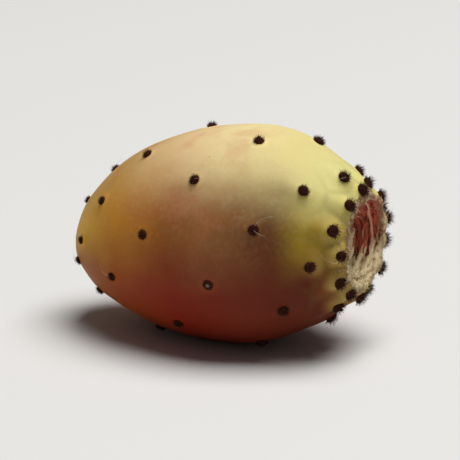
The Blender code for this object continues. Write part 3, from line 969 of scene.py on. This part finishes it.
# The scar at the stem end, where the fruit was twisted off its pad: a shallow dish with a brown corky
# lip, a torn fibrous face and a ring of broken veins round its middle, already dry.
STEM_DISH_DEPTH = 0.7
STEM_SCAR_RADIUS = float(egg_radius(STEM_FACE))
STEM_SCAR_EDGE = 0.45
STEM_SHELL = 0.6
STEM_RINGS = 44
STEM_STEPS = 144
STEM_MIDDLE_RADIUS = 0.12
STEM_TUCK = 0.9
STEM_LIP_HEIGHT = 0.16
VEINS = 11
VEIN_RING = 2.1
VEIN_HEIGHT = 0.22
STEM_GRAIN_DEPTH = 0.1
rows = np.linspace(STEM_MIDDLE_RADIUS, STEM_SCAR_RADIUS + STEM_SCAR_EDGE, STEM_RINGS)[:, None]
stem_angles = np.linspace(0, math.tau, STEM_STEPS, endpoint=False)[None, :]
flat = turned(STEM_FACE, rows, stem_angles)
uneven = lumps(flat, 1.6, 6)
outline_shift = 0.5 * lumps(turned(STEM_FACE, STEM_SCAR_RADIUS, stem_angles), 2.2, 7)
out_from_edge = rows - STEM_SCAR_RADIUS - outline_shift * (rows / STEM_SCAR_RADIUS) ** 2
lip = np.exp(-((out_from_edge + 0.35 + 0.15 * uneven) / 0.36) ** 2)
dish = STEM_DISH_DEPTH * fade(rows, STEM_SCAR_RADIUS, 0.35 * STEM_SCAR_RADIUS)
tuck = STEM_TUCK * fade(out_from_edge, 0, STEM_SCAR_EDGE)
petals = np.clip(np.cos(VEINS * stem_angles + 1.5 * uneven), 0, 1) ** 2
vein = np.exp(-((rows - VEIN_RING - 0.3 * uneven) / 0.3) ** 2) * petals
torn = 0.5 * streaked(stem_angles, rows, 5, 0.8, 0.8, 33) + 0.8 * lumps(flat, 0.8, 34)
rough_face = 0.10 * lumps(flat, 0.5, 5) + 0.12 * uneven + 0.14 * torn
outer = fade(out_from_edge, -0.9, -0.4)
sunken = dish + tuck - STEM_LIP_HEIGHT * lip - VEIN_HEIGHT * vein + rough_face * (1 - 0.6 * outer)
face_points = turned(STEM_FACE + sunken, rows, stem_angles)
behind_face = STEM_FACE + sunken[::-UNDERSIDE_SKIP] + STEM_SHELL
back_points = turned(behind_face, rows[::-UNDERSIDE_SKIP], stem_angles)
stem_body = np.concatenate([face_points, back_points])
stem_middle = turned(STEM_FACE + STEM_DISH_DEPTH, 0.0, 0.0)
stem_back = turned(STEM_FACE + STEM_DISH_DEPTH + STEM_SHELL, 0.0, 0.0)
CORK_DARK = screen_colour(112, 84, 50)
CORK_PALE = screen_colour(196, 176, 124)
LIP_BROWN = screen_colour(108, 72, 42)
VEIN_PALE = screen_colour(222, 206, 160)
stem_finish = Finish("stem_finish", Roughness=0.88, Specular_IOR_Level=0.2)
fibrous = stem_finish.cloud(1.1, 5, 0.65) + 0.25 * stem_finish.read("torn")
cork = stem_finish.mix(stem_finish.fade(fibrous, 0.22, 0.86), CORK_DARK, CORK_PALE)
at_lip = stem_finish.fade(stem_finish.read("outer") + 0.2 * fibrous, 0.3, 0.9)
cork = stem_finish.mix(0.85 * at_lip, cork, LIP_BROWN)
cork = stem_finish.mix(0.7 * stem_finish.read("vein"), cork, VEIN_PALE)
stem_finish.fill(stem_finish.shader, {
    "Base_Color": cork,
    "Normal": stem_finish.bump(stem_finish.cloud(0.4, 4, 0.6), 0.6, STEM_GRAIN_DEPTH),
})
stem_scar = make_piece("stem_scar", [closed_rings(stem_body, stem_middle, stem_back)], stem_finish)
wrap_map(stem_scar, *stem_body.shape[:2])
give_ring_values(stem_scar, stem_body, 0, {"outer": outer, "vein": vein, "torn": torn})
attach(stem_scar, "root")

# Loose hairs. A few long, pale and very fine dry hairs are caught in the bristles at one end, and lie
# over the skin in low arches.
HAIRS = 22
HAIR_POINTS = 12
HAIR_RADIUS = 0.03
HAIR_TAPER = 0.6
HAIR_LENGTHS = (2.5, 6.5)
HAIR_SWING = 0.9
HAIR_ARCH = 0.9
HAIR_RISE = 0.5
HAIR_SAG = 0.02
HAIR_SHADE = screen_colour(196, 184, 160)
HAIR_PALE = screen_colour(238, 232, 218)
HAIR_SEED = 5
chance = np.random.default_rng(HAIR_SEED)
hair_share = np.linspace(0, 1, HAIR_POINTS)
hair_paths = []
stemward = 1.2 - AREOLE_X / LENGTH
for number in chance.choice(AREOLE_COUNT, HAIRS, p=stemward / stemward.sum()):
    heading = chance.uniform(0, math.tau)
    reach = chance.uniform(*HAIR_LENGTHS) * hair_share
    swing = heading + chance.normal() * HAIR_SWING * hair_share
    arch = np.sin(math.pi * np.clip(hair_share * chance.uniform(0.6, 1.2), 0, 1))
    lift = HAIR_ARCH * arch + HAIR_RISE - HAIR_SAG * reach ** 2
    hair = np.stack([reach * np.cos(swing), reach * np.sin(swing), lift], axis=-1)
    hair_paths.append(on_areole(number, hair))
hair_radii = np.full((HAIRS, 1), HAIR_RADIUS) * (1 - HAIR_TAPER * hair_share)
hair_finish = Finish("hair_finish", Roughness=0.5)
hair_tint = hair_finish.mix(hair_finish.cloud(2, 2), HAIR_SHADE, HAIR_PALE)
hair_finish.fill(hair_finish.shader, {"Base_Color": hair_tint})
loose_hairs = make_piece("loose_hairs", [threads(np.array(hair_paths), hair_radii)], hair_finish)
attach(loose_hairs, "root")

# The stage: the plain pale table that it lies on, a plain backdrop that only the camera sees, and a
# soft box high above
FLOOR = 4.0
FLOOR_TINT = (0.74, 0.73, 0.71)
LIGHT_PLACE = (0.75, 0.20, 2.95)
LIGHT_SIZE = 2.1
LIGHT_POWER = 112
AMBIENT = 0.08
BACKDROP = 0.5
floor_mesh = bpy.data.meshes.new("floor")
floor_corners = [(-FLOOR, -FLOOR, 0), (FLOOR, -FLOOR, 0), (FLOOR, FLOOR, 0), (-FLOOR, FLOOR, 0)]
floor_mesh.from_pydata(floor_corners, [], [(0, 1, 2, 3)])
floor_finish = Finish("floor_finish", Base_Color=FLOOR_TINT, Roughness=0.9)
floor_mesh.materials.append(floor_finish.material)
floor = bpy.data.objects.new("floor", floor_mesh)
bpy.context.scene.collection.objects.link(floor)

soft_box = bpy.data.lights.new("soft_box", "AREA")
soft_box.size = LIGHT_SIZE
soft_box.energy = LIGHT_POWER
light = bpy.data.objects.new("soft_box", soft_box)
light.location = LIGHT_PLACE
light.rotation_euler = (-Vector(LIGHT_PLACE)).to_track_quat("-Z", "Y").to_euler()
bpy.context.scene.collection.objects.link(light)

studio = bpy.data.worlds.new("studio")
studio.use_nodes = True
nodes = studio.node_tree.nodes
links = studio.node_tree.links
ambient = nodes["Background"]
backdrop = nodes.new("ShaderNodeBackground")
for sky, strength in ((ambient, AMBIENT), (backdrop, BACKDROP)):
    sky.inputs["Color"].default_value = (1.0, 1.0, 1.0, 1.0)
    sky.inputs["Strength"].default_value = strength
seen = nodes.new("ShaderNodeLightPath").outputs["Is Camera Ray"]
either = nodes.new("ShaderNodeMixShader")
links.new(seen, either.inputs[0])
links.new(ambient.outputs[0], either.inputs[1])
links.new(backdrop.outputs[0], either.inputs[2])
links.new(either.outputs[0], nodes["World Output"].inputs["Surface"])
bpy.context.scene.world = studio
bpy.context.scene.view_settings.view_transform = "Standard"

# The camera, at the photograph's viewing angle
CAMERA_DISTANCE = 0.600
CAMERA_AZIMUTH = math.radians(26.46)
CAMERA_ELEVATION = math.radians(16.0)
AIM = Vector((0, 0, 0.026))
PIXELS_PER_MM = 4.23
FRAME_PIXELS = 460
camera_data = bpy.data.cameras.new("camera")
camera_data.sensor_width = 36.0
camera_data.lens = camera_data.sensor_width * CAMERA_DISTANCE / MM * PIXELS_PER_MM / FRAME_PIXELS
camera = bpy.data.objects.new("camera", camera_data)
back = Vector((
    math.sin(CAMERA_AZIMUTH) * math.cos(CAMERA_ELEVATION),
    -math.cos(CAMERA_AZIMUTH) * math.cos(CAMERA_ELEVATION),
    math.sin(CAMERA_ELEVATION),
))
camera.location = AIM + back * CAMERA_DISTANCE
camera.rotation_euler = back.to_track_quat("Z", "Y").to_euler()
bpy.context.scene.collection.objects.link(camera)
bpy.context.scene.camera = camera
